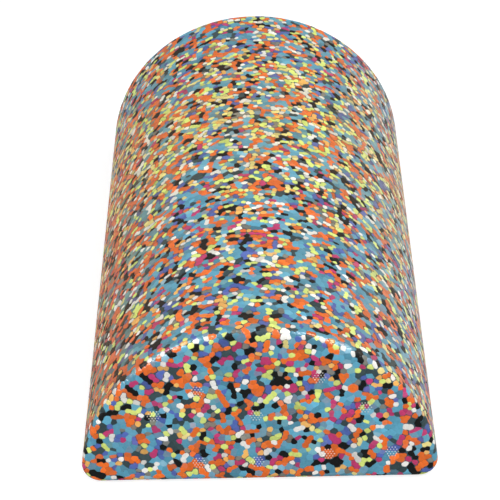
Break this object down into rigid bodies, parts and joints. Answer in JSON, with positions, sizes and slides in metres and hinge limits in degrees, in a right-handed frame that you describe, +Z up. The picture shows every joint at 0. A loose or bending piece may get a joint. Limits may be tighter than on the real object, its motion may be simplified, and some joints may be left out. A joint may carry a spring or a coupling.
{
  "type": "half foam roller",
  "caption": "Half-round exercise block moulded from coloured foam beads, with a flat base, rounded ends and steam-vent marks on its end faces.",
  "frame": {"origin": "centre of the flat underside", "axes": "+Y along the block, +Z up from the flat base through the top line of the crown, +X across"},
  "size_m": [0.1514, 0.3048, 0.0762],
  "materials": {
    "foam_teal": "moulded foam skin, slight sheen",
    "foam_black": "moulded foam skin, slight sheen",
    "foam_white": "moulded foam skin, slight sheen",
    "foam_lime": "moulded foam skin, slight sheen",
    "foam_magenta": "moulded foam skin, slight sheen",
    "foam_violet": "moulded foam skin, slight sheen",
    "foam_amber": "moulded foam skin, slight sheen",
    "foam_orange": "moulded foam skin, slight sheen"
  },
  "bodies": {
    "root": {"foam_body": "foam_teal", "black_bead_1": "foam_black", "black_bead_2": "foam_black", "black_bead_3": "foam_black", "black_bead_4": "foam_black", "black_bead_5": "foam_black", "black_bead_6": "foam_black", "black_bead_7": "foam_black", "black_bead_8": "foam_black", "black_bead_9": "foam_black", "black_bead_10": "foam_black", "black_bead_11": "foam_black", "white_bead_1": "foam_white", "white_bead_2": "foam_white", "white_bead_3": "foam_white", "white_bead_4": "foam_white", "white_bead_5": "foam_white", "white_bead_6": "foam_white", "white_bead_7": "foam_white", "white_bead_8": "foam_white", "white_bead_9": "foam_white", "white_bead_10": "foam_white", "lime_bead_1": "foam_lime", "lime_bead_2": "foam_lime", "lime_bead_3": "foam_lime", "lime_bead_4": "foam_lime", "lime_bead_5": "foam_lime", "lime_bead_6": "foam_lime", "lime_bead_7": "foam_lime", "magenta_bead_1": "foam_magenta", "magenta_bead_2": "foam_magenta", "magenta_bead_3": "foam_magenta", "magenta_bead_4": "foam_magenta", "magenta_bead_5": "foam_magenta", "violet_bead_1": "foam_violet", "violet_bead_2": "foam_violet", "violet_bead_3": "foam_violet", "violet_bead_4": "foam_violet", "amber_bead_1": "foam_amber", "amber_bead_2": "foam_amber", "orange_bead_1": "foam_orange", "orange_bead_2": "foam_orange", "orange_bead_3": "foam_orange"}
  },
  "joints": []
}
